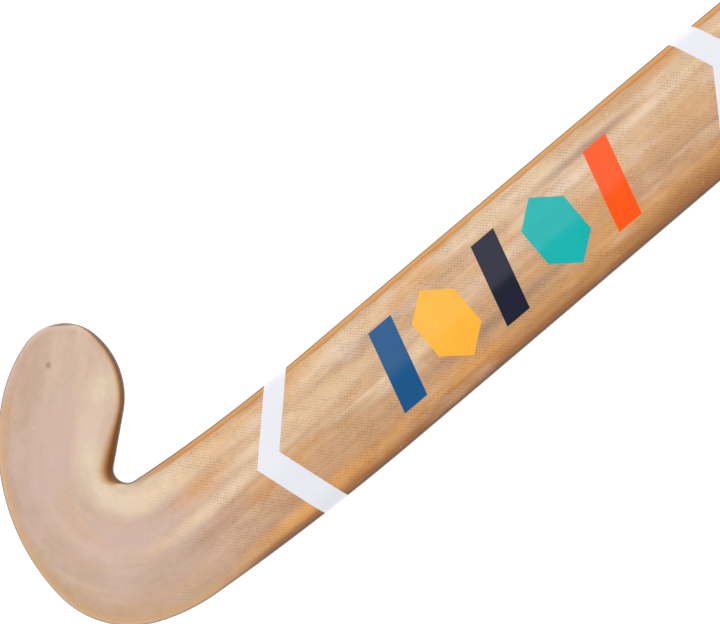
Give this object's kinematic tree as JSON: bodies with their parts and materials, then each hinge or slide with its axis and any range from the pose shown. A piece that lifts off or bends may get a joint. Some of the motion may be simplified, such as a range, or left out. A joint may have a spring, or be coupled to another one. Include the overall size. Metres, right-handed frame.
{
  "type": "field hockey stick",
  "caption": "Wooden hockey stick with a flat-faced hooked head, woven glass skin, coloured bands and marks, and a round wound grip.",
  "frame": {"origin": "bottom middle of the whole stick's box, on the surface it lies on", "axes": "+X up the shaft towards the butt, +Y towards the toe, +Z out of the playing face, the stick lying on its bowed back"},
  "size_m": [0.9284, 0.1128, 0.0504],
  "materials": {
    "ply_pale": "sawn",
    "ply_honey": "sawn",
    "ply_brown": "sawn",
    "cane": "sawn",
    "rubber": "matte",
    "lacquered_weave": "clear gloss lacquer over glass weave",
    "white_print": "satin",
    "blue_print": "satin",
    "amber_print": "satin",
    "navy_print": "satin",
    "teal_print": "satin",
    "orange_print": "satin",
    "foam": "matte",
    "grip": "matte",
    "tape": "satin",
    "cap": "satin"
  },
  "bodies": {
    "root": {"blank_ply_1": "ply_pale", "blank_ply_2": "ply_honey", "blank_ply_3": "ply_pale", "blank_ply_4": "ply_honey", "blank_ply_5": "ply_pale", "blank_ply_6": "ply_honey", "blank_ply_7": "ply_brown", "handle_stave_toe_side": "cane", "handle_stave_middle": "cane", "handle_stave_heel_side": "cane", "rubber_strip_toe_side": "rubber", "rubber_strip_heel_side": "rubber", "glass_sleeve": "lacquered_weave", "lower_band": "white_print", "upper_band": "white_print", "mark_blue": "blue_print", "mark_amber": "amber_print", "mark_navy": "navy_print", "mark_teal": "teal_print", "mark_orange": "orange_print", "grip_underlay": "foam", "grip_tape": "grip", "finishing_tape": "tape", "butt_cap": "cap"}
  },
  "joints": []
}
